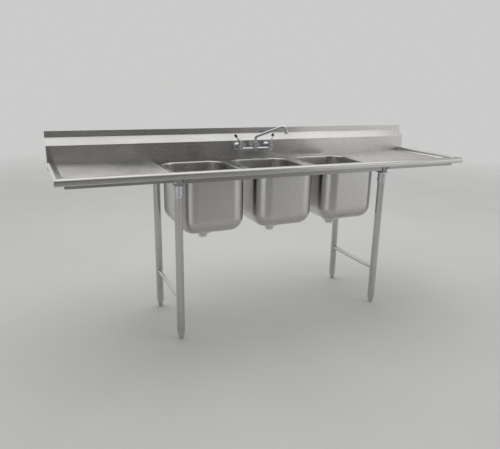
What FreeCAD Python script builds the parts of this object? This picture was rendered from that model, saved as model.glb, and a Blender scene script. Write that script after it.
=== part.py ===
"""Three compartment sink: a stainless steel commercial sink on four legs.

Frame: millimetres, +Z up, X along the sink, the user stands on the -Y side.
The origin is on the floor, under the middle of the sink's outer box.
"""
import FreeCAD, Part
import math
import os
import Sketcher

from FreeCAD import Placement, Rotation, Vector

# Driving dimensions, in millimetres, or degrees where the name says angle.
SIZES = {
    # outer box and the rolled rim
    "overall_length": 2412, "overall_depth": 620, "rim_height": 914,
    "rim_width": 38, "rim_drop": 33, "rim_radius": 15, "rim_curl": 14, "riser_seam": 7,
    # sheet steel, work surface and the pitch of the drainboards
    "gauge": 2, "deck_drop": 29, "sink_length": 1260, "drainboard_pitch": 10, "cove_radius": 8,
    # backsplash
    "splash_depth": 43, "splash_face": 81, "splash_slope": 40, "splash_lip": 35, "splash_skirt": 52,
    # bowls
    "bowl_width": 362, "bowl_breadth": 446, "bowl_depth": 327, "bowl_pitch": 425, "bowl_centre": -14,
    "bowl_corner": 84, "bowl_foot": 82, "bowl_lip": 12, "lip_radius": 10,
    # drains and strainer baskets
    "sump_radius": 62, "sump_depth": 3, "drain_flange": 56, "drain_thread": 43, "drain_bore": 38,
    "drain_cup": 42, "outlet_radius": 24.1, "outlet_length": 14, "outlet_bore": 20.6,
    "gasket_thickness": 3, "drain_nut_height": 12, "drain_nut_wall": 6, "drain_nut_lug": 11, "lug_width": 10,
    "basket_radius": 36.5, "basket_height": 33, "basket_wall": 1.2, "knob_radius": 9,
    # stiffening under the work surface
    "apron_drop": 29, "apron_flange": 20, "cross_channel_width": 31, "cross_channel_depth": 40,
    "board_channel_width": 40, "board_channel_depth": 22, "board_channel_end": 46,
    # legs, rails and feet
    "leg_radius": 20.65, "leg_wall": 1.6, "leg_front": -242, "leg_back": 203.5, "leg_top": 836,
    "socket_radius": 24.2, "socket_bottom": 779, "socket_plate": 64, "socket_width": 44,
    "socket_thickness": 3, "socket_taper": 8, "set_screw_radius": 4, "set_screw_height": 22,
    "rail_radius": 12.7, "rail_height": 231, "foot_height": 38, "foot_nose": 9, "stud_radius": 6,
    "stud_length": 42, "insert_length": 22,
    # faucet
    "faucet_centres": 203.2, "faucet_height": 960, "faucet_reach": 60, "bar_drop": 12,
    "bar_radius": 10.5, "bar_bore": 6, "arm_radius": 13, "casting_wall": 5,
    "valve_radius": 16, "valve_top": 974, "post_radius": 14, "shank_radius": 10.65, "shank_bore": 7.5,
    "shank_barrel": 12, "shank_spigot": 10, "shank_spigot_length": 22,
    "shank_nut_radius": 17, "stem_radius": 4, "bonnet_radius": 16, "bonnet_height": 7, "hub_radius": 10.5,
    "spout_radius": 8, "spout_bore": 6.4, "spout_reach": 196, "spout_rise": 1022, "spout_peak": 1100,
    "spout_tip": 1058, "spout_swing_angle": 45, "aerator_radius": 10.5,
    "lever_length": 46, "lever_tilt_angle": 50, "lever_turn_angle": 35,
}

FIT = 0.05          # radial room in a thread or a press fit
GAP = 0.3           # room between pieces that move past each other
OVER = 1            # how far a cutting tool runs past the face it opens
NEAR = 0.05         # how close an edge must lie to a stated place to be picked
HEXAGON = 6         # sides of a nut or of a key's recess

doc = FreeCAD.newDocument("ThreeCompartmentSink")
sheet = doc.addObject("Spreadsheet::Sheet", "Sizes")
for row, (alias, amount) in enumerate(SIZES.items(), start=1):
    sheet.set(f"A{row}", alias)
    sheet.set(f"B{row}", str(amount))
    sheet.setAlias(f"B{row}", alias)
doc.recompute()


class Size:
    """A number that also carries the formula that works it out from the sheet."""

    def __init__(self, value, text):
        self.value = value
        self.text = text

    def __add__(self, other):
        other = as_size(other)
        return Size(self.value + other.value, f"({self.text} + {other.text})")

    def __sub__(self, other):
        other = as_size(other)
        return Size(self.value - other.value, f"({self.text} - {other.text})")

    def __mul__(self, other):
        other = as_size(other)
        return Size(self.value * other.value, f"({self.text} * {other.text})")

    def __truediv__(self, other):
        other = as_size(other)
        return Size(self.value / other.value, f"({self.text} / {other.text})")

    def __radd__(self, other):
        return as_size(other) + self

    def __rsub__(self, other):
        return as_size(other) - self

    def __rmul__(self, other):
        return as_size(other) * self

    def __neg__(self):
        return self * -1

    def __float__(self):
        return float(self.value)


def as_size(amount):
    """Turn a plain number into a Size."""
    return amount if isinstance(amount, Size) else Size(float(amount), f"({float(amount)!r})")


def cell(alias):
    """The Size held in one cell of the sheet."""
    return Size(float(sheet.get(alias)), f"Sizes.{alias}")


def bind(item, prop, amount):
    """Drive one property of an object by a formula of the sheet."""
    item.setExpression(prop, as_size(amount).text)


def move(item, x=0, y=0, z=0, rotation=None):
    """Place an object; its position follows the sheet."""
    if rotation is not None:
        item.Placement = Placement(Vector(), rotation)
    for letter, amount in zip("xyz", (x, y, z)):
        bind(item, f"Placement.Base.{letter}", amount)
    return item


ALONG_X = Rotation(Vector(0, 1, 0), 90)
ALONG_Y = Rotation(Vector(1, 0, 0), -90)
ALONG_Z = Rotation()
PLANES = {"XY": "XY_Plane", "XZ": "XZ_Plane", "YZ": "YZ_Plane"}

parts = {}


def keep(name, item):
    """Name a finished sub-part."""
    item.Label = name
    parts[name] = item
    return item


# ---------------------------------------------------------------- primitives

def box(x, y, z, length, width, height):
    """A block from its lowest corner."""
    item = doc.addObject("Part::Box", "Block")
    for prop, amount in (("Length", length), ("Width", width), ("Height", height)):
        bind(item, prop, amount)
    return move(item, x, y, z)


def cylinder(radius, length, x=0, y=0, z=0, rotation=ALONG_Z):
    """A round bar from the middle of its first end."""
    item = doc.addObject("Part::Cylinder", "Bar")
    bind(item, "Radius", radius)
    bind(item, "Height", length)
    return move(item, x, y, z, rotation)


def cone(radius_low, radius_high, length, x=0, y=0, z=0, rotation=ALONG_Z):
    """A tapered bar from the middle of its first end."""
    item = doc.addObject("Part::Cone", "Taper")
    bind(item, "Radius1", radius_low)
    bind(item, "Radius2", radius_high)
    bind(item, "Height", length)
    return move(item, x, y, z, rotation)


def prism(sides, circumradius, length, x=0, y=0, z=0, rotation=ALONG_Z):
    """A bar with flat sides, for nuts."""
    item = doc.addObject("Part::Prism", "Hexagon")
    item.Polygon = sides
    bind(item, "Circumradius", circumradius)
    bind(item, "Height", length)
    return move(item, x, y, z, rotation)


def join(*items):
    """Several touching or overlapping solids made into one."""
    item = doc.addObject("Part::MultiFuse", "Joined")
    item.Shapes = list(items)
    item.Refine = True
    return item


def cut(base, *tools):
    """A solid with others taken out of it."""
    for tool in tools:
        item = doc.addObject("Part::Cut", "Remainder")
        item.Base = base
        item.Tool = tool
        base = item
    return base


def group(items):
    """Identical loose pieces kept together as separate solids."""
    item = doc.addObject("Part::Compound", "Set")
    item.Links = items
    return item


# --------------------------------------------------------- bodies and sketches

def new_body():
    return doc.addObject("PartDesign::Body", "Body")


def new_sketch(body, plane):
    """An empty sketch on one of the body's own planes."""
    sketch = body.newObject("Sketcher::SketchObject", "Outline")
    support = [item for item in body.Origin.OriginFeatures if item.Role == PLANES[plane]][0]
    sketch.AttachmentSupport = [(support, "")]
    sketch.MapMode = "FlatFace"
    return sketch


def pin_point(sketch, geometry, vertex, across, up):
    """Hold one point of a sketch at a place that follows the sheet."""
    for kind, amount in (("DistanceX", across), ("DistanceY", up)):
        constraint = Sketcher.Constraint(kind, -1, 1, geometry, vertex, float(amount))
        index = sketch.addConstraint(constraint)
        sketch.setExpression(f"Constraints[{index}]", as_size(amount).text)


def polygon(body, plane, corners):
    """A closed outline of straight lines through the corners."""
    sketch = new_sketch(body, plane)
    count = len(corners)
    points = [Vector(float(across), float(up), 0) for across, up in corners]
    for index in range(count):
        sketch.addGeometry(Part.LineSegment(points[index], points[(index + 1) % count]))
    for index in range(count):
        sketch.addConstraint(Sketcher.Constraint("Coincident", index, 2, (index + 1) % count, 1))
    for index, (across, up) in enumerate(corners):
        pin_point(sketch, index, 1, across, up)
    return sketch


def rectangle(body, plane, low_across, low_up, high_across, high_up):
    corners = [(low_across, low_up), (high_across, low_up), (high_across, high_up), (low_across, high_up)]
    return polygon(body, plane, corners)


def circle(body, plane, across, up, radius):
    sketch = new_sketch(body, plane)
    centre = Vector(float(across), float(up), 0)
    sketch.addGeometry(Part.Circle(centre, Vector(0, 0, 1), float(radius)))
    pin_point(sketch, 0, 3, across, up)
    index = sketch.addConstraint(Sketcher.Constraint("Radius", 0, float(radius)))
    sketch.setExpression(f"Constraints[{index}]", as_size(radius).text)
    return sketch


def settle(feature):
    """Work out a new feature and stop if it failed."""
    doc.recompute()
    if {"Invalid", "Error"} & set(feature.State):
        raise RuntimeError(f"{feature.Name} failed")
    return feature


def extrude(body, sketch, kind, length, start=0, reverse=False):
    """A Pad or a Pocket; start lifts the sketch off its plane along its normal."""
    sketch.setExpression("AttachmentOffset.Base.z", as_size(start).text)
    feature = body.newObject(f"PartDesign::{kind}", kind)
    feature.Profile = sketch
    feature.Reversed = reverse
    bind(feature, "Length", length)
    return settle(feature)


def pad(body, sketch, length, start=0, reverse=False):
    return extrude(body, sketch, "Pad", length, start, reverse)


def pocket(body, sketch, length, start=0, reverse=False):
    before = body.Shape.Volume
    feature = extrude(body, sketch, "Pocket", length, start, reverse)
    if body.Shape.Volume > before - 1:
        raise RuntimeError(f"{body.Label}: a pocket cuts nothing")
    return feature


def revolve(body, corners):
    """Turn an outline of (radius, height) corners about the body's Z axis."""
    sketch = polygon(body, "XZ", corners)
    feature = body.newObject("PartDesign::Revolution", "Revolution")
    feature.Profile = sketch
    feature.ReferenceAxis = (sketch, ["V_Axis"])
    feature.Angle = 360
    return settle(feature)


def fillet(body, radius, wanted):
    """Round every edge of the body's last feature that the test wants."""
    base = body.Tip
    names = [f"Edge{number}" for number, edge in enumerate(base.Shape.Edges, start=1) if wanted(edge)]
    if not names:
        raise RuntimeError(f"{body.Label}: no edge to round")
    feature = body.newObject("PartDesign::Fillet", "Fillet")
    feature.Base = (base, names)
    bind(feature, "Radius", radius)
    return settle(feature)


def middle(edge):
    """The point halfway along an edge."""
    return edge.valueAt((edge.FirstParameter + edge.LastParameter) / 2)


def near(point, **places):
    """True if the point has all the stated coordinates."""
    return all(abs(getattr(point, letter) - float(place)) < NEAR for letter, place in places.items())


# ------------------------------------------------------------- shared places

gauge = cell("gauge")
half_length = cell("overall_length") / 2
half_depth = cell("overall_depth") / 2
half_sink = cell("sink_length") / 2
rim_z = cell("rim_height")
rim_low = rim_z - cell("rim_drop")
deck_z = rim_z - cell("deck_drop")
under_deck = deck_z - gauge
seam_z = rim_z - cell("riser_seam")
riser = cell("rim_width")
front = -half_depth
splash_y = half_depth - cell("splash_depth")
lip_low = rim_z + cell("splash_face") + cell("splash_slope")
splash_top = lip_low + cell("splash_lip")
skirt_low = rim_z - cell("splash_skirt")
floor_z = deck_z - cell("bowl_depth")
sump_z = floor_z - cell("sump_depth")
bowl_y = cell("bowl_centre")
bowls = {"left": -cell("bowl_pitch"), "middle": as_size(0), "right": cell("bowl_pitch")}
sides = {"left": -1, "right": 1}
legs = {
    "front_left": (-half_sink, cell("leg_front")), "front_right": (half_sink, cell("leg_front")),
    "back_left": (-half_sink, cell("leg_back")), "back_right": (half_sink, cell("leg_back")),
}


# --------------------------------------------------------------- rolled rims

def rim_outline(body, plane, side):
    """Section of the rolled rim: out from the riser, over, down and under.

    side is +1 where the work surface lies towards positive coordinates.
    """
    edge = half_depth if plane == "YZ" else half_length
    curl = cell("rim_curl")
    section = [
        (riser, seam_z), (riser, rim_z), (0, rim_z), (0, rim_low), (curl, rim_low), (curl, rim_low + gauge),
        (gauge, rim_low + gauge), (gauge, rim_z - gauge), (riser - gauge, rim_z - gauge), (riser - gauge, seam_z),
    ]
    return polygon(body, plane, [((inward - edge) * side, height) for inward, height in section])


def round_rim(body, axis, side):
    """Round the four bends of the rim, outside and inside."""
    edge = half_depth if axis == "y" else half_length
    bend = cell("rim_radius")
    bends = [
        (bend, [(0, rim_z)]),
        (bend - gauge, [(gauge, rim_z - gauge)]),
        (3 * gauge, [(riser, rim_z), (0, rim_low)]),
        (2 * gauge, [(riser - gauge, rim_z - gauge), (gauge, rim_low + gauge)]),
    ]
    for radius, corners in bends:
        places = [{axis: (inward - edge) * side, "z": height} for inward, height in corners]
        fillet(body, radius, lambda edge_found: any(near(middle(edge_found), **place) for place in places))


MITRE_PAST = 12      # how far the mitre's cut runs past the riser
CUT_CLEAR = 10       # how far a tall cut starts beyond the sheet it opens


def mitre(body, side, keeps_front):
    """Cut the 45 degree joint at one front corner."""
    past = riser + MITRE_PAST
    outer, inner = half_length * side, (half_length - past) * side
    spare = (inner, front) if not keeps_front else (outer, front + past)
    sketch = polygon(body, "XY", [(outer, front), (inner, front + past), spare])
    pocket(body, sketch, 2 * cell("rim_drop"), start=rim_z + CUT_CLEAR)


def front_rim():
    body = new_body()
    pad(body, rim_outline(body, "YZ", 1), cell("overall_length"), start=-half_length)
    round_rim(body, "y", 1)
    for side in (-1, 1):
        mitre(body, side, keeps_front=True)
    return body


def end_rim(side):
    """Rim across one end; it stops against the backsplash."""
    body = new_body()
    sketch = rim_outline(body, "XZ", -side)
    pad(body, sketch, half_depth + splash_y, start=-splash_y)
    round_rim(body, "x", -side)
    mitre(body, side, keeps_front=False)
    return body


keep("front_rolled_rim", front_rim())
for name, side in sides.items():
    keep(f"{name}_rolled_rim", end_rim(side))


# -------------------------------------------------------------- work surface

def tray_form(side, inset, top, radius):
    """Solid with the shape of a drainboard, inset from its outer faces and top at a stated height."""
    body = new_body()
    rise = cell("drainboard_pitch")
    outer, inner = (half_length - riser + gauge - inset) * side, half_sink * side
    wall_y = front + riser - gauge + inset
    low = under_deck + inset
    outline = [(outer, top), (inner, top), (inner, low), (outer, low + rise)]
    pad(body, polygon(body, "XZ", outline), splash_y - wall_y, start=-splash_y)
    fillet(body, radius, lambda edge: near(middle(edge), x=outer) and near(middle(edge), z=low + rise)
           or near(middle(edge), x=outer, y=wall_y)
           or near(middle(edge), y=wall_y) and middle(edge).z < float(low + rise))
    return body


def drainboard(side):
    """Pitched tray with a coved front and outer end, open to the bowls."""
    cove = cell("cove_radius")
    return cut(tray_form(side, 0, seam_z, cove + gauge), tray_form(side, gauge, seam_z + OVER, cove))


def outline_of_bowl(body, grow):
    """The bowl's outside in plan, grown outwards all round."""
    half_x, half_y = cell("bowl_width") / 2 + grow, cell("bowl_breadth") / 2 + grow
    return rectangle(body, "XY", -half_x, -half_y, half_x, half_y)


def round_plan(body, grow):
    """Round the upright corners of the outline made last."""
    half_x, half_y = cell("bowl_width") / 2 + grow, cell("bowl_breadth") / 2 + grow
    corners = [(x_side * float(half_x), y_side * float(half_y)) for x_side in (-1, 1) for y_side in (-1, 1)]
    fillet(body, cell("bowl_corner") + grow,
           lambda edge: any(near(middle(edge), x=x, y=y) for x, y in corners))


def sink_deck():
    """Flat top between the drainboards, with its riser and three openings."""
    body = new_body()
    wall_y = front + riser
    section = [
        (splash_y, deck_z), (wall_y, deck_z), (wall_y, seam_z), (wall_y - gauge, seam_z),
        (wall_y - gauge, under_deck), (splash_y, under_deck),
    ]
    pad(body, polygon(body, "YZ", section), cell("sink_length"), start=-half_sink)
    fillet(body, cell("cove_radius"), lambda edge: near(middle(edge), y=wall_y, z=deck_z))
    fillet(body, cell("cove_radius") + gauge, lambda edge: near(middle(edge), y=wall_y - gauge, z=under_deck))
    grow = cell("bowl_lip")
    half_x, half_y = cell("bowl_width") / 2 + grow, cell("bowl_breadth") / 2 + grow
    for centre in bowls.values():
        opening = rectangle(body, "XY", centre - half_x, bowl_y - half_y, centre + half_x, bowl_y + half_y)
        pocket(body, opening, 2 * gauge, start=deck_z + OVER)
    corners = [
        (float(centre) + x_side * float(half_x), float(bowl_y) + y_side * float(half_y))
        for centre in bowls.values() for x_side in (-1, 1) for y_side in (-1, 1)
    ]
    fillet(body, cell("bowl_corner") + grow,
           lambda edge: any(near(middle(edge), x=x, y=y) for x, y in corners))
    return body


def follows_plan(edge, grow):
    """True for an edge that runs along the bowl's outline in plan, grown all round."""
    if hasattr(edge.Curve, "Radius"):
        return abs(edge.Curve.Radius - float(cell("bowl_corner") + grow)) < NEAR
    point = middle(edge)
    half_x, half_y = cell("bowl_width") / 2 + grow, cell("bowl_breadth") / 2 + grow
    return abs(abs(point.x) - float(half_x)) < NEAR or abs(abs(point.y) - float(half_y)) < NEAR


def bowl_form(centre, inset, lip_low, lip_thick, lip_grow, shoulder):
    """Solid bowl shape with a plate round its mouth, flared into it by the shoulder radius."""
    body = new_body()
    low = inset - cell("bowl_depth")
    pad(body, outline_of_bowl(body, -inset), lip_low - low, start=low)
    round_plan(body, -inset)
    fillet(body, cell("bowl_foot") - inset, lambda edge: near(middle(edge), z=low))
    pad(body, circle(body, "XY", 0, 0, cell("sump_radius") - inset), cell("sump_depth") + gauge,
        start=low - cell("sump_depth"))
    pad(body, outline_of_bowl(body, lip_grow), lip_thick, start=lip_low)
    round_plan(body, lip_grow)
    fillet(body, shoulder, lambda edge: near(middle(edge), z=lip_low) and follows_plan(edge, -inset))
    return move(body, centre, bowl_y, deck_z)


def bowl(centre):
    """Deep drawn bowl: rounded upright corners and foot, a sump and a flared lip."""
    lip, flare = cell("bowl_lip"), cell("lip_radius")
    outside = bowl_form(centre, as_size(0), -gauge, gauge, lip, flare - gauge)
    inside = bowl_form(centre, gauge, as_size(0), gauge, lip + gauge, flare)
    hole = cylinder(cell("drain_thread") + FIT, 4 * gauge, centre, bowl_y, sump_z - gauge)
    return cut(outside, inside, hole)


keep("sink_deck", sink_deck())
for name, side in sides.items():
    keep(f"{name}_drainboard", drainboard(side))
for name, centre in bowls.items():
    keep(f"{name}_bowl", bowl(centre))


# ---------------------------------------------------------------- backsplash

bend_z = rim_z + cell("splash_face")
BEND_SHIFT = 0.4     # how far, in gauges, a 45 degree bend shifts along the sheet's other face


def splash_section(low, thickness):
    """The splash's face in section, as (y, z) from its lower edge to its top."""
    back = half_depth
    return [
        (splash_y, low), (splash_y, bend_z), (back - gauge, lip_low), (back - gauge, splash_top),
        (back, splash_top), (back, lip_low - thickness * BEND_SHIFT),
        (splash_y + thickness, bend_z - thickness * BEND_SHIFT),
        (splash_y + thickness, low),
    ]


def backsplash():
    body = new_body()
    pad(body, polygon(body, "YZ", splash_section(skirt_low, gauge)), cell("overall_length") - 2 * gauge,
        start=gauge - half_length)
    for side in (-1, 1):
        hole = circle(body, "XZ", side * cell("faucet_centres") / 2, cell("faucet_height"),
                      cell("shank_barrel") + OVER)
        pocket(body, hole, 2 * cell("splash_depth"), start=-half_depth - CUT_CLEAR, reverse=True)
    return body


def splash_cap(side):
    """Plate that closes one end of the boxed splash."""
    body = new_body()
    corners = [
        (splash_y, skirt_low), (splash_y, bend_z), (half_depth - gauge, lip_low),
        (half_depth - gauge, splash_top), (half_depth, splash_top), (half_depth, skirt_low),
    ]
    low_x = half_length - gauge if side > 0 else -half_length
    pad(body, polygon(body, "YZ", corners), gauge, start=low_x)
    return body


keep("backsplash", backsplash())
for name, side in sides.items():
    keep(f"{name}_splash_cap", splash_cap(side))


# ------------------------------------------------- stiffening under the deck

RISER_ROOM = 2       # room between the deck's riser and the steel behind it
CHANNEL_ROOM = 1     # room at the end of a channel
behind_riser = front + riser + gauge + RISER_ROOM


def front_apron():
    """Angle under the front of the bowls, between the two cross channels."""
    body = new_body()
    face_y, flange = behind_riser, cell("apron_flange")
    low = under_deck - cell("apron_drop")
    corners = [
        (face_y, under_deck), (face_y, low), (face_y + flange, low), (face_y + flange, low + gauge),
        (face_y + gauge, low + gauge), (face_y + gauge, under_deck),
    ]
    reach = half_sink - cell("socket_width") / 2 - CHANNEL_ROOM
    pad(body, polygon(body, "YZ", corners), 2 * reach, start=-reach)
    return body


def cross_channel(side):
    """Channel from front to back that ties two leg sockets to the deck."""
    width, depth = cell("cross_channel_width"), cell("cross_channel_depth")
    length = splash_y - behind_riser - CHANNEL_ROOM
    outside = box(half_sink * side - width / 2, behind_riser, under_deck - depth, width, length, depth)
    inside = box(half_sink * side - width / 2 + gauge, behind_riser + gauge, under_deck - depth + gauge,
                 width - 2 * gauge, length - 2 * gauge, depth)
    return cut(outside, inside)


def board_channel(side, low_y):
    """Channel along a drainboard; its top follows the drainboard's pitch."""
    body = new_body()
    width, depth = cell("board_channel_width"), cell("board_channel_depth")
    inner_x = half_sink + cell("socket_width") / 2 + 2 * CHANNEL_ROOM
    outer_x = half_length - cell("board_channel_end")
    slope = cell("drainboard_pitch") / (half_length - riser + gauge - half_sink)
    low = under_deck - depth
    corners = [
        (inner_x * side, low), (outer_x * side, low),
        (outer_x * side, under_deck + slope * (outer_x - half_sink)),
        (inner_x * side, under_deck + slope * (inner_x - half_sink)),
    ]
    pad(body, polygon(body, "XZ", corners), width, start=-low_y - width)
    trough = rectangle(body, "YZ", low_y + gauge, low + gauge, low_y + width - gauge, deck_z + depth)
    pocket(body, trough, 2 * half_length, start=half_length + OVER)
    return body


keep("front_apron", front_apron())
REAR_CHANNEL = 60    # from the rear channel to the splash
channel_rows = (behind_riser + CHANNEL_ROOM, splash_y - cell("board_channel_width") - REAR_CHANNEL)
for name, side in sides.items():
    keep(f"{name}_cross_channel", cross_channel(side))
    keep(f"{name}_drainboard_channels", group([board_channel(side, low_y) for low_y in channel_rows]))


# -------------------------------------------------------- legs, rails and feet

SOCKET_BEVEL = 2     # how much a socket narrows at its mouth
SCREW_LENGTH = 9
SCREW_RECESS = 6     # depth at which the key's recess starts
KEY = 2.3            # circumradius of the key's recess


def leg_socket(x, y):
    """Square plate with a round cup below it that takes the top of a leg."""
    plate, width, thick = cell("socket_plate"), cell("socket_width"), cell("socket_thickness")
    plate_z = under_deck - cell("cross_channel_depth") - thick
    bottom, taper, radius = cell("socket_bottom"), cell("socket_taper"), cell("socket_radius")
    blank = join(
        box(x - width / 2, y - plate / 2, plate_z, width, plate, thick),
        cylinder(radius, plate_z - bottom - taper, x, y, bottom + taper),
        cone(radius - SOCKET_BEVEL, radius, taper, x, y, bottom),
    )
    bore = cylinder(cell("leg_radius") + FIT, cell("leg_top") - bottom, x, y, bottom)
    turn = Rotation(Vector(0, 1, 0), 90 if float(x) < 0 else -90)
    screw_hole = cylinder(cell("set_screw_radius"), radius * 2, x, y, bottom + cell("set_screw_height"), turn)
    return cut(blank, bore, screw_hole)


def set_screw(x, y):
    """Socket screw that clamps a leg in its socket, driven from the inner side."""
    towards = 1 if float(x) < 0 else -1
    turn = Rotation(Vector(0, 1, 0), 90 * towards)
    z = cell("socket_bottom") + cell("set_screw_height")
    start = x + towards * (cell("leg_radius") + FIT)
    shank = cylinder(cell("set_screw_radius") - FIT, SCREW_LENGTH, start, y, z, turn)
    recess = prism(HEXAGON, KEY, SCREW_LENGTH - SCREW_RECESS + OVER, start + towards * SCREW_RECESS, y, z, turn)
    return cut(shank, recess)


def leg(x, y):
    """Plain round tube."""
    radius, low, top = cell("leg_radius"), cell("foot_height"), cell("leg_top")
    return cut(
        cylinder(radius, top - low, x, y, low),
        cylinder(radius - cell("leg_wall"), top - low, x, y, low),
    )


def cross_rail(side):
    """Rail welded between a front and a back leg; its ends are coped to the tubes."""
    x, low_y, high_y = half_sink * side, cell("leg_front"), cell("leg_back")
    z, radius, wall = cell("rail_height"), cell("rail_radius"), cell("leg_wall")
    tube = cut(
        cylinder(radius, high_y - low_y, x, low_y, z, ALONG_Y),
        cylinder(radius - wall, high_y - low_y, x, low_y, z, ALONG_Y),
    )
    copes = [cylinder(cell("leg_radius"), 4 * radius, x, y, z - 2 * radius) for y in (low_y, high_y)]
    return cut(tube, *copes)


def foot_insert(x, y):
    """Threaded plug pressed into the bottom of a leg."""
    low, length = cell("foot_height"), cell("insert_length")
    plug = cylinder(cell("leg_radius") - cell("leg_wall"), length, x, y, low)
    return cut(plug, cylinder(cell("stud_radius") + GAP, length, x, y, low))


def bullet_foot(x, y):
    """Tapered foot on a threaded stud; it screws down to level the sink."""
    body = new_body()
    top, nose, stud = cell("foot_height") - GAP, cell("foot_nose"), cell("stud_radius")
    waist = cell("leg_radius") - 1
    collar = 6
    stud_top = top + cell("stud_length")
    corners = [
        (0, 0), (nose, 0), (nose + 2.5, 3), (waist - 1, top - collar - 2), (waist, top - collar), (waist, top),
        (stud, top), (stud, stud_top), (stud - 1, stud_top + 1), (0, stud_top + 1),
    ]
    revolve(body, corners)
    return move(body, x, y, 0)


for name, (x, y) in legs.items():
    keep(f"{name}_leg_socket", leg_socket(x, y))
    keep(f"{name}_leg", leg(x, y))
    keep(f"{name}_foot", bullet_foot(x, y))
keep("socket_set_screws", group([set_screw(x, y) for x, y in legs.values()]))
keep("foot_inserts", group([foot_insert(x, y) for x, y in legs.values()]))
for name, side in sides.items():
    keep(f"{name}_cross_rail", cross_rail(side))


# ---------------------------------------------------- drains and strainers

seat_z = sump_z + gauge         # inner face of the sump
TAPER = 10                      # height over which a drain narrows to its outlet


def drain_body(x):
    """Flanged drain cup that narrows to a threaded outlet."""
    body = new_body()
    flange, thread, bore = cell("drain_flange"), cell("drain_thread"), cell("drain_bore")
    outlet, outlet_bore = cell("outlet_radius"), cell("outlet_bore")
    cup_low = -cell("drain_cup")
    outlet_high = cup_low - TAPER
    outlet_low = outlet_high - cell("outlet_length")
    corners = [
        (bore, 2), (bore + 3, 3), (flange - 2, 2), (flange, 0), (thread, 0), (thread, cup_low),
        (outlet, outlet_high), (outlet, outlet_low), (outlet_bore, outlet_low),
        (outlet_bore, outlet_high + 2), (bore - 3, cup_low + 3), (bore, cup_low + 6),
    ]
    revolve(body, corners)
    return move(body, x, bowl_y, seat_z)


def drain_gasket(x):
    """Rubber ring between the sump's underside and the lock nut."""
    ring, hole, thick = cell("drain_flange") - 2, cell("drain_thread") + FIT, cell("gasket_thickness")
    low = sump_z - thick
    return cut(cylinder(ring, thick, x, bowl_y, low), cylinder(hole, thick, x, bowl_y, low))


def drain_locknut(x):
    """Ring nut with four lugs that clamps the drain to the bowl."""
    hole, height, lug_width = cell("drain_thread") + FIT, cell("drain_nut_height"), cell("lug_width")
    low = sump_z - cell("gasket_thickness") - height
    ring = cylinder(cell("drain_thread") + cell("drain_nut_wall"), height, x, bowl_y, low)
    lugs = []
    for quarter in range(4):
        lug = box(0, 0, 0, cell("drain_thread") + cell("drain_nut_lug"), lug_width, height)
        lug.Placement = Placement(Vector(0, 0, 0), Rotation(Vector(0, 0, 1), 90 * quarter))
        turn = math.radians(90 * quarter)
        shift_x, shift_y = lug_width / 2 * math.sin(turn), lug_width / 2 * math.cos(turn)
        lugs.append(move(lug, x + shift_x, bowl_y - shift_y, low))
    return cut(join(ring, *lugs), cylinder(hole, height, x, bowl_y, low))


BASKET_LIFT = 7      # from the drain cup's lower end to the basket, less its gap
FLOOR_RINGS = ((12, 6), (22, 12))    # rings of holes in a basket's floor: radius and count
FLOOR_HOLE = 2.6
WALL_ROWS = (14, 23)                 # heights of the rows of holes in a basket's wall
WALL_HOLE = 3
WALL_COUNT = 16


def strainer_basket(x):
    """Perforated cup with a knob; it lifts straight out of the drain."""
    body = new_body()
    radius, height, wall = cell("basket_radius"), cell("basket_height"), cell("basket_wall")
    knob = cell("knob_radius")
    low = BASKET_LIFT - cell("drain_cup") + GAP
    corners = [
        (0, low), (radius - 6, low), (radius, low + 8), (radius, low + height), (radius - wall, low + height),
        (radius - wall, low + 8.5), (radius - 6.5, low + wall), (4, low + wall), (4, low + 40),
        (knob, low + 44), (knob, low + 50), (knob - 2.5, low + 53), (0, low + 53),
    ]
    revolve(body, corners)
    for ring_radius, count in FLOOR_RINGS:
        first = pocket(body, circle(body, "XY", ring_radius, 0, FLOOR_HOLE), CUT_CLEAR, start=low + 4 * OVER)
        repeat(body, first, count, "Z_Axis")
    for row in WALL_ROWS:
        first = pocket(body, circle(body, "YZ", 0, low + row, WALL_HOLE), 2 * CUT_CLEAR, start=radius + 2 * OVER)
        repeat(body, first, WALL_COUNT, "Z_Axis")
    return move(body, x, bowl_y, seat_z)


def repeat(body, feature, count, axis):
    """Repeat a feature evenly round one of the body's axes."""
    pattern = body.newObject("PartDesign::PolarPattern", "Repeat")
    pattern.Originals = [feature]
    line = [item for item in body.Origin.OriginFeatures if item.Role == axis][0]
    pattern.Axis = (line, [""])
    pattern.Angle = 360
    pattern.Occurrences = count
    body.Tip = pattern
    return settle(pattern)


for name, centre in bowls.items():
    keep(f"{name}_drain", drain_body(centre))
    keep(f"{name}_strainer_basket", strainer_basket(centre))
keep("drain_gaskets", group([drain_gasket(centre) for centre in bowls.values()]))
keep("drain_locknuts", group([drain_locknut(centre) for centre in bowls.values()]))


# -------------------------------------------------------------------- faucet

tap_y = splash_y - cell("faucet_reach")
tap_z = cell("faucet_height")
valve_top = cell("valve_top")
flange_depth = 13    # from the splash to the casting
arm_end = splash_y - flange_depth
valve_x = {name: side * cell("faucet_centres") / 2 for name, side in sides.items()}
COLLAR = 11          # radius of the collar at the foot of the spout
COLLAR_HEIGHT = 17
COLLAR_LOW = 20      # collar's underside below the top of the post
NUT_HEIGHT = 8       # height of a nut behind the splash
CASTING_LOW = 12     # casting's underside below the bar's middle
CASTING_FLOOR = 10   # thickness of a valve body's floor
POST_FLOOR = 8       # thickness of the post's floor
SHANK_SHORT = 6      # from the end of a shank to the wall


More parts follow.
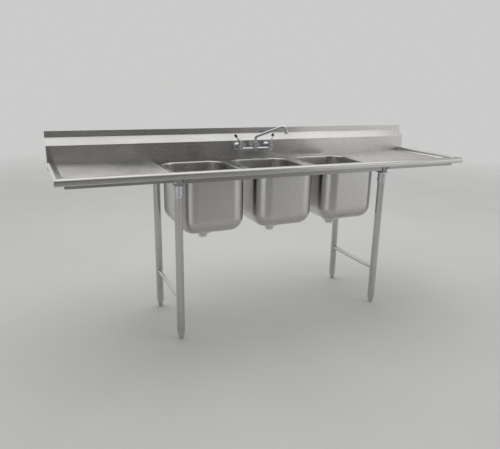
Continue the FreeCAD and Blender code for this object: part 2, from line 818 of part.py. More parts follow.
def faucet_body():
    """One casting: two valve bodies on arms, joined by a bar with the spout post."""
    bar_z = tap_z - cell("bar_drop")
    low = bar_z - CASTING_LOW
    height = valve_top - low
    span = cell("faucet_centres")
    arm_length = arm_end - tap_y
    spigot = cell("shank_spigot_length")
    solids = [
        cylinder(cell("post_radius"), height, 0, tap_y, low),
        cylinder(cell("bar_radius"), span, -span / 2, tap_y, bar_z, ALONG_X),
    ]
    bores = [
        cylinder(COLLAR + GAP, height, 0, tap_y, low + POST_FLOOR),
        cylinder(cell("bar_bore"), span, -span / 2, tap_y, bar_z, ALONG_X),
    ]
    for x in valve_x.values():
        solids.append(cylinder(cell("valve_radius"), height, x, tap_y, low))
        solids.append(cylinder(cell("arm_radius"), arm_length, x, tap_y, tap_z, ALONG_Y))
        bores.append(cylinder(cell("valve_radius") - cell("casting_wall"), height, x, tap_y, low + CASTING_FLOOR))
        bores.append(cylinder(cell("shank_spigot") + FIT, spigot, x, arm_end - spigot, tap_z, ALONG_Y))
        bores.append(cylinder(cell("shank_bore"), arm_length, x, tap_y, tap_z, ALONG_Y))
    return cut(join(*solids), *bores)


def faucet_flange(x):
    """Domed ring between the splash and the casting."""
    body = new_body()
    hole = cell("shank_barrel") + FIT
    corners = [
        (hole, 0), (15, 0), (18, 2.5), (21, 6), (23.5, 10), (24, flange_depth), (hole, flange_depth),
    ]
    revolve(body, corners)
    return move(body, x, arm_end, tap_z, ALONG_Y)


def supply_shank(x):
    """Nipple through the splash: a spigot in the casting, a barrel and the supply thread."""
    spigot = cell("shank_spigot_length")
    nut_back = splash_y + gauge + NUT_HEIGHT
    tail_end = half_depth - SHANK_SHORT
    outer = join(
        cylinder(cell("shank_spigot"), spigot, x, arm_end - spigot, tap_z, ALONG_Y),
        cylinder(cell("shank_barrel"), nut_back - arm_end, x, arm_end, tap_z, ALONG_Y),
        cylinder(cell("shank_radius"), tail_end - nut_back, x, nut_back, tap_z, ALONG_Y),
    )
    start = arm_end - spigot
    return cut(outer, cylinder(cell("shank_bore"), tail_end - start, x, start, tap_z, ALONG_Y))


def shank_locknut(x):
    """Hexagon nut behind the splash."""
    nut_y = splash_y + gauge
    nut = prism(HEXAGON, cell("shank_nut_radius"), NUT_HEIGHT, x, nut_y, tap_z, ALONG_Y)
    return cut(nut, cylinder(cell("shank_barrel") + FIT, NUT_HEIGHT, x, nut_y, tap_z, ALONG_Y))


BONNET_DEPTH = 14         # how far a bonnet screws into the valve body
BONNET_NECK = 10          # radius of the neck above the hexagon
BONNET_NECK_HEIGHT = 5
DISC_RADIUS = 9.5         # valve disc at the foot of a stem
DISC_HEIGHT = 3
STEM_LENGTH = 37
STEM_DEPTH = 16           # stem's foot below the top of the valve body


def valve_bonnet(x):
    """Hexagon bonnet screwed into a valve body; the stem turns in it."""
    thread_radius, height = cell("valve_radius") - cell("casting_wall") - FIT, cell("bonnet_height")
    blank = join(
        cylinder(thread_radius, BONNET_DEPTH, x, tap_y, valve_top - BONNET_DEPTH),
        prism(HEXAGON, cell("bonnet_radius"), height, x, tap_y, valve_top),
        cylinder(BONNET_NECK, BONNET_NECK_HEIGHT, x, tap_y, valve_top + height),
    )
    whole = height + BONNET_DEPTH + BONNET_NECK_HEIGHT + OVER
    return cut(blank, cylinder(cell("stem_radius") + GAP, whole, x, tap_y, valve_top - BONNET_DEPTH - OVER / 2))


def valve_stem(x):
    """Turning spindle with the valve disc at its foot."""
    return join(
        cylinder(cell("stem_radius"), STEM_LENGTH, x, tap_y, valve_top - STEM_DEPTH),
        cylinder(DISC_RADIUS, DISC_HEIGHT, x, tap_y, valve_top - BONNET_DEPTH - GAP - DISC_HEIGHT),
    )


def lever_direction(side):
    """Unit vector from the hub towards the end of a closed lever."""
    tilt, turn = (math.radians(float(cell(name))) for name in ("lever_tilt_angle", "lever_turn_angle"))
    return Vector(side * math.cos(tilt) * math.cos(turn), math.cos(tilt) * math.sin(turn), math.sin(tilt))


HUB_LOW = 12.5       # hub's underside above the top of the valve body
HUB_HEIGHT = 13
STEM_SOCKET = 9      # depth of the stem's bore in the hub, with its overshoot
SCREW_SEAT = 3       # depth of the screw's seat in the top of the hub
SCREW_HEAD = 5       # radius of a handle screw
LEVER_ROOT = 6.5     # radius of a lever at the hub
LEVER_END = 4.8      # radius of a lever at its end
lever_z = valve_top + HUB_LOW + 6


def faucet_handle(x, side):
    """Hub with a raised tapered lever."""
    hub_z = valve_top + HUB_LOW
    turn = Rotation(Vector(0, 0, 1), lever_direction(side))
    blank = join(
        cylinder(cell("hub_radius"), HUB_HEIGHT, x, tap_y, hub_z),
        cone(LEVER_ROOT, LEVER_END, cell("lever_length"), x, tap_y, lever_z, turn),
    )
    bore = cylinder(cell("stem_radius") + FIT, STEM_SOCKET, x, tap_y, hub_z - OVER / 2)
    counterbore = cylinder(SCREW_HEAD + 4 * FIT, 2 * SCREW_SEAT, x, tap_y, hub_z + HUB_HEIGHT - SCREW_SEAT)
    return cut(blank, bore, counterbore)


def handle_cap(x, side):
    """Dark moulded cap on the end of a lever."""
    body = new_body()
    start = cell("lever_length") - 10
    corners = [
        (0, start + 10), (4.85, start + 10), (5.3, start), (7.2, start + 1.5), (8.2, start + 9),
        (7.6, start + 16), (5, start + 20), (0, start + 21),
    ]
    revolve(body, corners)
    return move(body, x, tap_y, lever_z, Rotation(Vector(0, 0, 1), lever_direction(side)))


def handle_screw(x):
    """Screw that holds a handle on its stem."""
    head_z = valve_top + HUB_LOW + HUB_HEIGHT - SCREW_SEAT
    head = cylinder(SCREW_HEAD, SCREW_SEAT + 0.5, x, tap_y, head_z)
    recess = prism(HEXAGON, KEY - 0.1, SCREW_SEAT, x, tap_y, head_z + SCREW_SEAT / 2)
    return cut(head, recess)


SPOUT_NUT = 16.5     # circumradius of the nut round the spout
SPOUT_NUT_HEIGHT = 11
SPOUT_NECK = 12      # radius of the nut's neck
SPOUT_NECK_TOP = 14
SPOUT_BENDS = (20, 22)    # radii of the spout's lower and upper bend
SEAL_HEIGHT = 2.6


def spout_nut():
    """Hexagon nut that holds the collar of the spout down."""
    nut = join(
        prism(HEXAGON, SPOUT_NUT, SPOUT_NUT_HEIGHT, 0, tap_y, valve_top),
        cylinder(SPOUT_NECK, SPOUT_NECK_TOP, 0, tap_y, valve_top),
    )
    bore = cylinder(cell("spout_radius") + GAP, SPOUT_NECK_TOP + OVER, 0, tap_y, valve_top - OVER / 2)
    return cut(nut, bore)


def bent_path(corners, radii):
    """A wire of straight runs joined by tangent arcs at its inner corners."""
    points = [Vector(*corner) for corner in corners]
    edges = []
    start = points[0]
    for before, corner, after, radius in zip(points, points[1:], points[2:], radii):
        arrive, leave = (corner - before).normalize(), (after - corner).normalize()
        setback = radius * math.tan(arrive.getAngle(leave) / 2)
        first, last = corner - arrive * setback, corner + leave * setback
        inward = (leave - arrive).normalize()
        to_centre = math.hypot(radius, setback)
        halfway = corner + inward * (to_centre - radius)
        edges.append(Part.LineSegment(start, first).toShape())
        edges.append(Part.Arc(first, halfway, last).toShape())
        start = last
    edges.append(Part.LineSegment(start, points[-1]).toShape())
    return Part.Wire(edges)


def bent_rod(path, radius):
    """A solid round rod along a wire that starts straight up."""
    section = Part.Wire(Part.makeCircle(radius, path.Vertexes[0].Point, Vector(0, 0, 1)))
    return path.makePipeShell([section], True, False)


def spout():
    """Swing spout: a bent tube with a collar at its foot."""
    foot_z = float(valve_top) - COLLAR_LOW
    reach, radius = float(cell("spout_reach")), float(cell("spout_radius"))
    corners = [
        (0, 0, foot_z), (0, 0, float(cell("spout_rise"))), (reach, 0, float(cell("spout_peak"))),
        (reach, 0, float(cell("spout_tip"))),
    ]
    path = bent_path(corners, SPOUT_BENDS)
    collar = Part.makeCylinder(COLLAR, COLLAR_HEIGHT, Vector(0, 0, foot_z))
    tube = bent_rod(path, radius).fuse(collar).cut(bent_rod(path, float(cell("spout_bore"))))
    item = doc.addObject("Part::Feature", "Tube")
    item.Shape = tube.removeSplitter()
    item.Placement = Placement(Vector(0, float(tap_y), 0), swing)
    return item


# A swing of 0 points straight at the user; a positive one is towards +X.
swing = Rotation(Vector(0, 0, 1), float(cell("spout_swing_angle")) - 90)
outlet = swing.multVec(Vector(float(cell("spout_reach")), 0, 0))


def spout_seal():
    """O-ring on top of the spout's collar, under the nut."""
    low = valve_top - COLLAR_LOW + COLLAR_HEIGHT
    ring = cylinder(COLLAR, SEAL_HEIGHT, 0, tap_y, low)
    return cut(ring, cylinder(cell("spout_radius"), SEAL_HEIGHT, 0, tap_y, low))


AERATOR_LOW = 10     # aerator's screen below the end of the tube
AERATOR_HEIGHT = 14
SCREEN = 1.5         # thickness of the aerator's screen
SCREEN_HOLE = 0.9
SCREEN_RINGS = ((0, 1), (2.6, 6), (5.1, 12))    # rings of holes in the screen: radius and count


def aerator():
    """Screen cup on the spout's outlet."""
    x, y = outlet.x, tap_y + outlet.y
    low = cell("spout_tip") - AERATOR_LOW
    shell = join(
        cylinder(cell("aerator_radius"), AERATOR_HEIGHT, x, y, low),
        cylinder(cell("aerator_radius") - 0.7, AERATOR_HEIGHT + 2, x, y, low),
    )
    socket = cylinder(cell("spout_radius") + FIT, 8, x, y, low + AERATOR_LOW)
    mouth = cylinder(6.6, 9, x, y, low + SCREEN)
    holes = []
    for ring_radius, count in SCREEN_RINGS:
        for step in range(count):
            angle = 2 * math.pi * step / count
            hole_x, hole_y = x + ring_radius * math.cos(angle), y + ring_radius * math.sin(angle)
            holes.append(cylinder(SCREEN_HOLE, 2 * SCREEN, hole_x, hole_y, low - OVER))
    return cut(shell, socket, mouth, *holes)


keep("faucet_body", faucet_body())
keep("faucet_flanges", group([faucet_flange(x) for x in valve_x.values()]))
keep("supply_shanks", group([supply_shank(x) for x in valve_x.values()]))
keep("shank_locknuts", group([shank_locknut(x) for x in valve_x.values()]))
for name, side in sides.items():
    x = valve_x[name]
    keep(f"{name}_valve_bonnet", valve_bonnet(x))
    keep(f"{name}_valve_stem", valve_stem(x))
    keep(f"{name}_handle", faucet_handle(x, side))
    keep(f"{name}_handle_cap", handle_cap(x, side))
    keep(f"{name}_handle_screw", handle_screw(x))
keep("spout_nut", spout_nut())
keep("spout", spout())
keep("spout_seal", spout_seal())
keep("spout_aerator", aerator())


# ------------------------------------------------------------ check and write

doc.recompute()
faults = [item.Name for item in doc.Objects if {"Invalid", "Error"} & set(item.State)]
if faults:
    raise RuntimeError(f"failed objects: {faults}")
os.makedirs("parts", exist_ok=True)
for name, item in parts.items():
    shape = item.Shape
    if shape.isNull() or not shape.isValid() or not shape.Solids:
        raise RuntimeError(f"{name}: the shape is null, invalid or not solid")
    shape.exportStep(f"parts/{name}.step")
print(f"{len(parts)} sub-parts written")
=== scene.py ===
"""Looks of the three compartment sink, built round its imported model. Blender 4.5, metres."""
import math

import bpy
from mathutils import Matrix, Vector


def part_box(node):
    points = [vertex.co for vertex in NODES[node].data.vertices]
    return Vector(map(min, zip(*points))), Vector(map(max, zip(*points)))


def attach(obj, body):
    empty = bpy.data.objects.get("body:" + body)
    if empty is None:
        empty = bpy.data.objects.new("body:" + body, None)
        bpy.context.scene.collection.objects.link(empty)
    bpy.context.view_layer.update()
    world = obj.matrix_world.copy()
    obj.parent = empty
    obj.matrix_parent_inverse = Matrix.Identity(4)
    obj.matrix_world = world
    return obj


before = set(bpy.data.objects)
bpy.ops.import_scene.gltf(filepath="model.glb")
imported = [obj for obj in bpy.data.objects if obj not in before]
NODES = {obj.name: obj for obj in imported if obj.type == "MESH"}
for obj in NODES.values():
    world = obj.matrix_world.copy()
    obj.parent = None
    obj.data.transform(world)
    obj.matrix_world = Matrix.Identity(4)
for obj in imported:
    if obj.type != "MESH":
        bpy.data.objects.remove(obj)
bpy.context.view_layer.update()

SIDES = ("left", "right")
PLACES = ("left", "middle", "right")
CORNERS = ("front_left", "front_right", "back_left", "back_right")


# ------------------------------------------------------------- node helpers

class Nodes:
    """A cleared node tree whose nodes are added by short calls."""

    def __init__(self, owner):
        owner.use_nodes = True
        self.tree = owner.node_tree
        self.tree.nodes.clear()

    def fill(self, socket, value):
        """Link another node's output to a socket, or set a plain value on it."""
        if isinstance(value, bpy.types.NodeSocket):
            self.tree.links.new(value, socket)
        else:
            socket.default_value = value

    def node(self, kind, **sockets):
        """A new node; a socket's name has underscores for its spaces."""
        made = self.tree.nodes.new("ShaderNode" + kind)
        for socket, value in sockets.items():
            self.fill(made.inputs[socket.replace("_", " ")], value)
        return made

    def spread(self, value, low, high, start=0.3, end=0.7):
        """A value between start and end, spread over low to high."""
        made = self.node("MapRange", Value=value, From_Min=start, From_Max=end,
                         To_Min=low, To_Max=high)
        return made.outputs["Result"]

    def combine(self, operation, first, second):
        """The result of a calculation with two values."""
        made = self.node("Math")
        made.operation = operation
        self.fill(made.inputs[0], first)
        self.fill(made.inputs[1], second)
        return made.outputs["Value"]

    def blend(self, factor, first, second, output):
        """Mix two shaders and show the result."""
        made = self.node("MixShader", Fac=factor)
        self.tree.links.new(first, made.inputs[1])
        self.tree.links.new(second, made.inputs[2])
        self.tree.links.new(made.outputs["Shader"], output.inputs["Surface"])


class Shader(Nodes):
    """A new material round one surface shader."""

    def __init__(self, name, **sockets):
        self.material = bpy.data.materials.new(name)
        super().__init__(self.material)
        self.surface = self.node("BsdfPrincipled")
        self.output = self.node("OutputMaterial")
        self.tree.links.new(self.surface.outputs["BSDF"], self.output.inputs["Surface"])
        for socket, value in sockets.items():
            self.give(socket.replace("_", " "), value)

    def give(self, socket, value):
        self.fill(self.surface.inputs[socket], value)

    def place(self, squeeze=(1, 1, 1)):
        """Object coordinates in metres, multiplied along each axis."""
        coordinates = self.node("TexCoord").outputs["Object"]
        return self.node("Mapping", Vector=coordinates, Scale=squeeze).outputs["Vector"]

    def noise(self, vector, scale, detail=2.0, roughness=0.5):
        made = self.node("TexNoise", Vector=vector, Scale=scale, Detail=detail,
                         Roughness=roughness)
        return made.outputs["Fac"]

    def spots(self, vector, scale):
        return self.node("TexVoronoi", Vector=vector, Scale=scale).outputs["Distance"]

    def add(self, first, second):
        return self.combine("ADD", first, second)

    def mix(self, factor, first, second):
        """One colour turning into another."""
        made = self.node("Mix")
        made.data_type = "RGBA"
        factors = [socket for socket in made.inputs if socket.name == "Factor"]
        colours = [socket for socket in made.inputs if socket.type == "RGBA"]
        self.fill(factors[0], factor)
        self.fill(colours[0], first)
        self.fill(colours[1], second)
        return [socket for socket in made.outputs if socket.type == "RGBA"][0]

    def bump(self, height, strength, distance):
        """A bump on top of any bump made before."""
        made = self.node("Bump", Height=height, Strength=strength, Distance=distance)
        normal = self.surface.inputs["Normal"]
        if normal.is_linked:
            self.tree.links.new(normal.links[0].from_socket, made.inputs["Normal"])
        self.tree.links.new(made.outputs["Normal"], normal)


def grey(level, warmth=0.0):
    """A neutral colour; warmth above 0 leans to yellow, below 0 to blue."""
    return (level * (1 + warmth), level, level * (1 - 2 * warmth), 1)


X, Y, Z = range(3)

FINE_ACROSS, FINE_ALONG = 90.0, 0.8       # squeeze of the fine scratches
BROAD_ACROSS, BROAD_ALONG = 22.0, 0.7     # squeeze of the broad streaks
SMEAR_SQUEEZE = (1.0, 1.7, 1.3)           # squeeze of the handling marks
OFF_GRAIN = 0.04       # tilts the grain slightly, off the normal of a face square to it
ANISOTROPY = 0.75
SCRATCH_DEPTH, STREAK_DEPTH = 0.0004, 0.0012    # metres


def brushed(name, along, level, dull, warmth=0.012, grain=1.0, streaks=1.0, clouds=0.05,
            smear_axis=None):
    """Brushed stainless steel. Along is the grain's axis: X, Y or Z.
    Highlights spread along smear_axis, or across the grain where there is none."""
    shader = Shader(name, Metallic=1.0)
    fine_squeeze = [FINE_ALONG if axis == along else FINE_ACROSS for axis in range(3)]
    broad_squeeze = [BROAD_ALONG if axis == along else BROAD_ACROSS for axis in range(3)]
    fine = shader.noise(shader.place(fine_squeeze), 12.0, 2.0)
    broad = shader.noise(shader.place(broad_squeeze), 7.0, 3.0, 0.6)
    cloud = shader.noise(shader.place(), 3.2, 3.0, 0.55)
    smear = shader.noise(shader.place(SMEAR_SQUEEZE), 17.0, 4.0, 0.65)
    tone = shader.mix(shader.spread(broad, 0, 1, 0.32, 0.68),
                      grey(level * (1 - 0.10 * streaks), warmth),
                      grey(level * (1 + 0.08 * streaks), warmth * 0.6))
    tone = shader.mix(shader.spread(cloud, 0, 0.55, 0.35, 0.7), tone,
                      grey(level * 0.97, warmth * 2.2))
    tone = shader.mix(shader.spread(smear, 0, 0.10, 0.58, 0.75), tone, grey(level * 0.85, warmth))
    shader.give("Base Color", tone)
    gloss = shader.add(shader.spread(fine, dull - 0.035, dull + 0.035),
                       shader.spread(cloud, -clouds, clouds, 0.3, 0.7))
    gloss = shader.add(gloss, shader.spread(smear, 0, 0.04, 0.55, 0.75))
    shader.give("Roughness", gloss)
    shader.bump(fine, 0.05 * grain, SCRATCH_DEPTH)
    shader.bump(broad, 0.03 * grain, STREAK_DEPTH)
    shader.give("Anisotropic", ANISOTROPY)
    if smear_axis is None:
        across = shader.node("VectorMath")
        across.operation = "CROSS_PRODUCT"
        across.inputs[0].default_value = [1.0 if axis == along else OFF_GRAIN * (axis + 1)
                                          for axis in range(3)]
        shader.fill(across.inputs[1], shader.node("NewGeometry").outputs["Normal"])
        shader.give("Tangent", across.outputs["Vector"])
    else:
        tangent = shader.node("CombineXYZ", X=smear_axis[0], Y=smear_axis[1], Z=smear_axis[2])
        shader.give("Tangent", tangent.outputs["Vector"])
    return shader.material


def plated(name, colour, shade, dull, ripple=0.03, ripple_scale=60.0):
    """Bright plating over a casting: small waves, faint haze and dulled patches."""
    shader = Shader(name, Metallic=1.0)
    haze = shader.noise(shader.place(), 26.0, 4.0, 0.6)
    specks = shader.noise(shader.place(), 190.0, 3.0, 0.6)
    wave = shader.noise(shader.place(), ripple_scale, 2.0, 0.45)
    shader.give("Base Color", shader.mix(shader.spread(haze, 0, 1, 0.38, 0.68), colour, shade))
    gloss = shader.add(shader.spread(haze, dull * 0.6, dull * 1.5, 0.35, 0.7),
                       shader.spread(specks, 0, dull * 0.5, 0.55, 0.75))
    shader.give("Roughness", gloss)
    shader.bump(wave, ripple, 0.0008)
    shader.bump(specks, 0.02, 0.0002)
    return shader.material


def cast_zinc():
    """Zinc plated castings: crystal patches, a pebbled skin and a little dust."""
    shader = Shader("zinc_plate", Metallic=1.0)
    flakes = shader.spots(shader.place(), 260.0)
    patch = shader.noise(shader.place(), 70.0, 4.0, 0.6)
    pebble = shader.noise(shader.place(), 520.0, 2.0, 0.5)
    tone = shader.mix(shader.spread(patch, 0, 1, 0.36, 0.66), grey(0.62, -0.02), grey(0.78, -0.035))
    tone = shader.mix(shader.spread(flakes, 0, 0.25, 0.3, 0.8), tone, grey(0.48, -0.02))
    shader.give("Base Color", tone)
    shader.give("Roughness", shader.spread(patch, 0.3, 0.46))
    shader.bump(pebble, 0.12, 0.0004)
    shader.bump(patch, 0.06, 0.001)
    return shader.material


def moulded(name, level, dull, warmth=0.0, texture=420.0):
    """Moulded plastic or rubber: fine pebbled skin, dusty patches, worn shine."""
    shader = Shader(name, Specular_IOR_Level=0.45)
    dust = shader.noise(shader.place(), 45.0, 4.0, 0.65)
    skin = shader.noise(shader.place(), texture, 3.0, 0.6)
    shader.give("Base Color", shader.mix(shader.spread(dust, 0, 1, 0.4, 0.75),
                                         grey(level, warmth), grey(level * 1.9 + 0.01, warmth)))
    shader.give("Roughness", shader.add(shader.spread(dust, dull, dull + 0.16),
                                        shader.spread(skin, -0.04, 0.04)))
    shader.bump(skin, 0.16, 0.0003)
    return shader.material


STEEL_X = brushed("sheet_steel_lengthwise", X, 0.59, 0.26, streaks=0.8)
STEEL_Y = brushed("sheet_steel_crosswise", Y, 0.58, 0.27)
# painted light: the drainboards get a lighter copy of the sheet steel, so they look more brightly
# lit
DECK_PAINTED_LIGHT = brushed("deck_steel_painted_light", X, 0.68, 0.30, streaks=0.8)
# painted shade: the sink deck gets a darker copy of the sheet steel, so it looks shaded round the
# bowls
SINK_TOP_PAINTED_SHADE = brushed("sink_top_steel_painted_shade", X, 0.46, 0.18, streaks=0.8, clouds=0.04)
BOWL = brushed("bowl_steel", Z, 0.61, 0.31, grain=0.35, streaks=0.3, clouds=0.06,
               smear_axis=(0.05, 0.1, 1.0))
CHANNEL_X = brushed("channel_steel_lengthwise", X, 0.42, 0.38)
CHANNEL_Y = brushed("channel_steel_crosswise", Y, 0.42, 0.38)
TUBE_Z = brushed("leg_tube_steel", Z, 0.56, 0.25)
TUBE_Y = brushed("rail_tube_steel", Y, 0.56, 0.25)
FOOT = brushed("foot_steel", Z, 0.60, 0.24, grain=0.6)
DRAIN = plated("drain_steel", grey(0.66, 0.01), grey(0.52, 0.015), 0.2)
BASKET = plated("basket_steel", grey(0.68, 0.008), grey(0.55, 0.01), 0.17)
ZINC = cast_zinc()
CHROME = plated("chrome", grey(0.70, -0.03), grey(0.60, -0.02), 0.13)
BRASS = plated("rough_brass", (0.62, 0.45, 0.20, 1), (0.48, 0.33, 0.15, 1), 0.3)
SCREW = plated("screw_steel", grey(0.50, 0.005), grey(0.40, 0.01), 0.24)
CAP = moulded("cap_plastic", 0.012, 0.3)
GASKET = moulded("gasket_rubber", 0.02, 0.6)
SEAL = moulded("seal_rubber", 0.015, 0.5)


def finish(material, *names):
    """Give one material to each named piece."""
    for name in names:
        slots = NODES[name].data.materials
        slots.clear()
        slots.append(material)


finish(STEEL_X, "front_rolled_rim", "backsplash")
finish(STEEL_Y, "left_rolled_rim", "right_rolled_rim", "left_splash_cap", "right_splash_cap")
finish(DECK_PAINTED_LIGHT, "left_drainboard", "right_drainboard")
finish(SINK_TOP_PAINTED_SHADE, "sink_deck")
finish(BOWL, *(f"{place}_bowl" for place in PLACES))
finish(CHANNEL_X, "front_apron", *(f"{side}_drainboard_channels" for side in SIDES))
finish(CHANNEL_Y, *(f"{side}_cross_channel" for side in SIDES))
finish(TUBE_Z, *(f"{corner}_leg" for corner in CORNERS))
finish(TUBE_Y, *(f"{side}_cross_rail" for side in SIDES))
finish(FOOT, *(f"{corner}_foot" for corner in CORNERS))
finish(ZINC, *(f"{corner}_leg_socket" for corner in CORNERS))
finish(DRAIN, *(f"{place}_drain" for place in PLACES))
finish(BASKET, *(f"{place}_strainer_basket" for place in PLACES))
finish(CHROME, "faucet_body", "faucet_flanges", "spout", "spout_nut", "spout_aerator",
       *(f"{side}_{piece}" for side in SIDES for piece in ("valve_bonnet", "handle")))
finish(BRASS, "supply_shanks", "drain_locknuts", "shank_locknuts",
       *(f"{side}_valve_stem" for side in SIDES))
finish(SCREW, "socket_set_screws", "foot_inserts", *(f"{side}_handle_screw" for side in SIDES))
finish(CAP, *(f"{side}_handle_cap" for side in SIDES))
finish(GASKET, "drain_gaskets")
finish(SEAL, "spout_seal")


# ------------------------------------------------------------- weld beads

def mesh_object(name, vertices, faces, material, body):
    """A smooth mesh that rides a body."""
    mesh = bpy.data.meshes.new(name)
    mesh.from_pydata(vertices, [], faces)
    for face in mesh.polygons:
        face.use_smooth = True
    mesh.materials.append(material)
    made = bpy.data.objects.new(name, mesh)
    bpy.context.scene.collection.objects.link(made)
    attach(made, body)
    return made


STEEP = 0.9    # upward share of a direction beyond which rings are laid out from X, not Z


def closed_tube(path, radii, sides=10):
    """Vertices and faces of a tube round a closed path.
    Neighbouring rings turn against each other where the path passes STEEP."""
    vertices, faces = [], []
    count = len(path)
    for index, point in enumerate(path):
        ahead = (path[(index + 1) % count] - path[index - 1]).normalized()
        across = ahead.cross(Vector((0, 0, 1)) if abs(ahead.z) < STEEP else Vector((1, 0, 0)))
        across.normalize()
        upward = across.cross(ahead)
        for side in range(sides):
            angle = 2 * math.pi * side / sides
            offset = across * math.cos(angle) + upward * math.sin(angle)
            vertices.append(point + offset * radii[index])
    for index in range(count):
        for side in range(sides):
            corner = index * sides + side
            beside = index * sides + (side + 1) % sides
            onward = (index + 1) % count * sides + side
            diagonal = (index + 1) % count * sides + (side + 1) % sides
            faces.append((corner, beside, diagonal, onward))
    return vertices, faces


BEAD_STEPS, BEAD_RIPPLES = 144, 34
BEAD_RADIUS, RIPPLE_HEIGHT = 0.0016, 0.00045       # metres
BEAD_OUT, BEAD_OFF = 0.0006, 0.0005    # its middle line: outside the rail, off the leg


def weld_bead(name, corner, side):
    """The rippled bead where a cross rail meets a leg."""
    rail_low, rail_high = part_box(f"{side}_cross_rail")
    leg_low, leg_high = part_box(f"{corner}_leg")
    rail = (rail_high.z - rail_low.z) / 2
    leg = (leg_high.x - leg_low.x) / 2
    centre = (leg_low + leg_high) / 2
    height = (rail_low.z + rail_high.z) / 2
    inward = 1 if centre.y < 0 else -1
    reach = rail + BEAD_OUT
    path, radii = [], []
    for step in range(BEAD_STEPS):
        angle = 2 * math.pi * step / BEAD_STEPS
        x = reach * math.cos(angle)
        y = inward * (math.sqrt(leg ** 2 - x ** 2) + BEAD_OFF)
        path.append(Vector((centre.x + x, centre.y + y, height + reach * math.sin(angle))))
        ripple = (step * BEAD_RIPPLES / BEAD_STEPS) % 1.0
        radii.append(BEAD_RADIUS + RIPPLE_HEIGHT * math.sin(math.pi * ripple) ** 0.6)
    vertices, faces = closed_tube(path, radii)
    return mesh_object(name, vertices, faces, WELD, "root")


WELD = plated("weld_bead_steel", grey(0.62, 0.02), grey(0.42, 0.05), 0.22, 0.06, 300.0)
for corner in CORNERS:
    weld_bead(f"{corner}_rail_weld", corner, corner.split("_")[1])


# ------------------------------------------------------------- floor and light

FLOOR_RADIUS = 8.0
FLOOR_SIDES = 96


def floor_material():
    """A pale painted floor that fades out to the backdrop's tone."""
    shader = Shader("pale_floor", Specular_IOR_Level=0.2)
    mottle = shader.noise(shader.place(), 1.1, 4.0, 0.6)
    grain = shader.noise(shader.place(), 90.0, 2.0, 0.5)
    shader.give("Base Color", shader.mix(shader.spread(mottle, 0, 1), grey(0.66, 0.004),
                                         grey(0.70, 0.004)))
    shader.give("Roughness", shader.spread(mottle, 0.6, 0.75))
    shader.bump(grain, 0.03, 0.001)
    distance = shader.node("VectorMath", Vector=shader.place())
    distance.operation = "LENGTH"
    fade = shader.spread(distance.outputs["Value"], 0, 1, FLOOR_RADIUS * 0.45,
                         FLOOR_RADIUS * 0.98)
    clear = shader.node("BsdfTransparent")
    shader.blend(fade, shader.surface.outputs["BSDF"], clear.outputs["BSDF"], shader.output)
    return shader.material


def lay_floor():
    """A flat disc under the sink."""
    turns = [2 * math.pi * step / FLOOR_SIDES for step in range(FLOOR_SIDES)]
    ring = [(FLOOR_RADIUS * math.cos(turn), FLOOR_RADIUS * math.sin(turn), 0.0)
            for turn in turns]
    mesh = bpy.data.meshes.new("floor")
    mesh.from_pydata(ring, [], [tuple(range(FLOOR_SIDES))])
    mesh.materials.append(floor_material())
    floor = bpy.data.objects.new("floor", mesh)
    bpy.context.scene.collection.objects.link(floor)


def softbox(name, place, target, width, length, power):
    """A rectangular light in metres and watts, turned to its target."""
    light = bpy.data.lights.new(name, "AREA")
    light.shape = "RECTANGLE"
    light.size, light.size_y = width, length
    light.energy = power
    lamp = bpy.data.objects.new(name, light)
    bpy.context.scene.collection.objects.link(lamp)
    lamp.location = place
    lamp.rotation_euler = (Vector(target) - Vector(place)).to_track_quat("-Z", "Y").to_euler()


lay_floor()
softbox("overhead_softbox", (0.6, 0.7, 4.4), (0.6, 0.5, 0), 7.0, 5.5, 90)
softbox("left_softbox", (-4.0, -3.8, 1.0), (-0.4, -0.2, 0.7), 3.0, 2.6, 20)
softbox("right_softbox", (6.0, -5.4, 1.9), (0.4, 0, 0.8), 5.0, 3.2, 40)


FRONT_LEVEL, BACK_LEVEL, SIDE_LEVEL, TOP_LEVEL = 0.13, 0.80, 0.50, 0.25
RIGHT_FALL = 0.6       # share of the back's light that is left towards +X


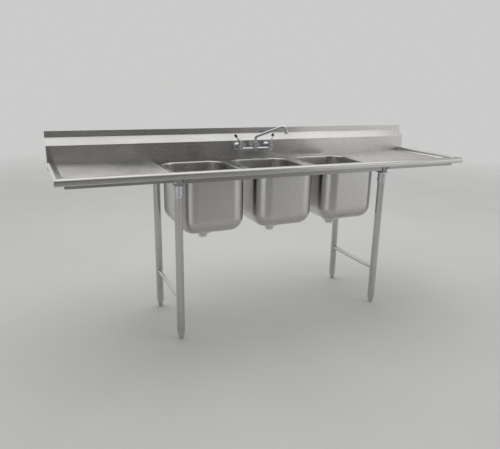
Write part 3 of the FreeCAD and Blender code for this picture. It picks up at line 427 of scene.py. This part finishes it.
def studio_world():
    """Reflections see light that is brightest towards +Y, then +X and up, and dim in front.
    The camera itself sees one pale tone."""
    world = bpy.data.worlds.new("studio")
    bpy.context.scene.world = world
    nodes = Nodes(world)
    direction = nodes.node("TexCoord").outputs["Generated"]
    parts = nodes.node("SeparateXYZ", Vector=direction).outputs
    back = nodes.spread(parts["Y"], FRONT_LEVEL, BACK_LEVEL, -0.05, 0.7)
    side = nodes.spread(parts["X"], 0.0, SIDE_LEVEL, 0.1, 0.75)
    top = nodes.spread(parts["Z"], 0.0, TOP_LEVEL, 0.3, 0.95)
    fall = nodes.spread(parts["X"], 1.0, RIGHT_FALL, 0.35, 0.75)
    level = nodes.combine("MAXIMUM", nodes.combine("MULTIPLY", back, fall), side)
    total = nodes.combine("ADD", level, top)
    lit = nodes.node("Background", Color=(1.0, 0.995, 0.985, 1), Strength=total)
    seen = nodes.node("Background", Color=(0.60, 0.60, 0.595, 1), Strength=1.0)
    camera_ray = nodes.node("LightPath").outputs["Is Camera Ray"]
    nodes.blend(camera_ray, lit.outputs[0], seen.outputs[0], nodes.node("OutputWorld"))


studio_world()


# ------------------------------------------------------------- camera

SENSOR_WIDTH = 36      # millimetres
FAR = 200              # metres


def set_camera(location, yaw, down, roll, lens):
    """Yaw turns from +Y towards +X; down is the pitch below the horizon; radians."""
    ahead = Vector((math.sin(yaw) * math.cos(down), math.cos(yaw) * math.cos(down),
                    -math.sin(down)))
    level = Vector((math.cos(yaw), -math.sin(yaw), 0))
    above = level.cross(ahead)
    right = level * math.cos(roll) + above * math.sin(roll)
    upward = above * math.cos(roll) - level * math.sin(roll)
    data = bpy.data.cameras.new("camera")
    data.lens = lens
    data.sensor_width = SENSOR_WIDTH
    data.clip_end = FAR
    camera = bpy.data.objects.new("camera", data)
    bpy.context.scene.collection.objects.link(camera)
    turn = Matrix((right, upward, -ahead)).transposed().to_4x4()
    camera.matrix_world = Matrix.Translation(location) @ turn
    bpy.context.scene.camera = camera


set_camera(location=(-1.3011, -2.5763, 1.3245), yaw=0.4292, down=0.2751, roll=0.0191, lens=35.4)
bpy.context.scene.view_settings.view_transform = "Standard"
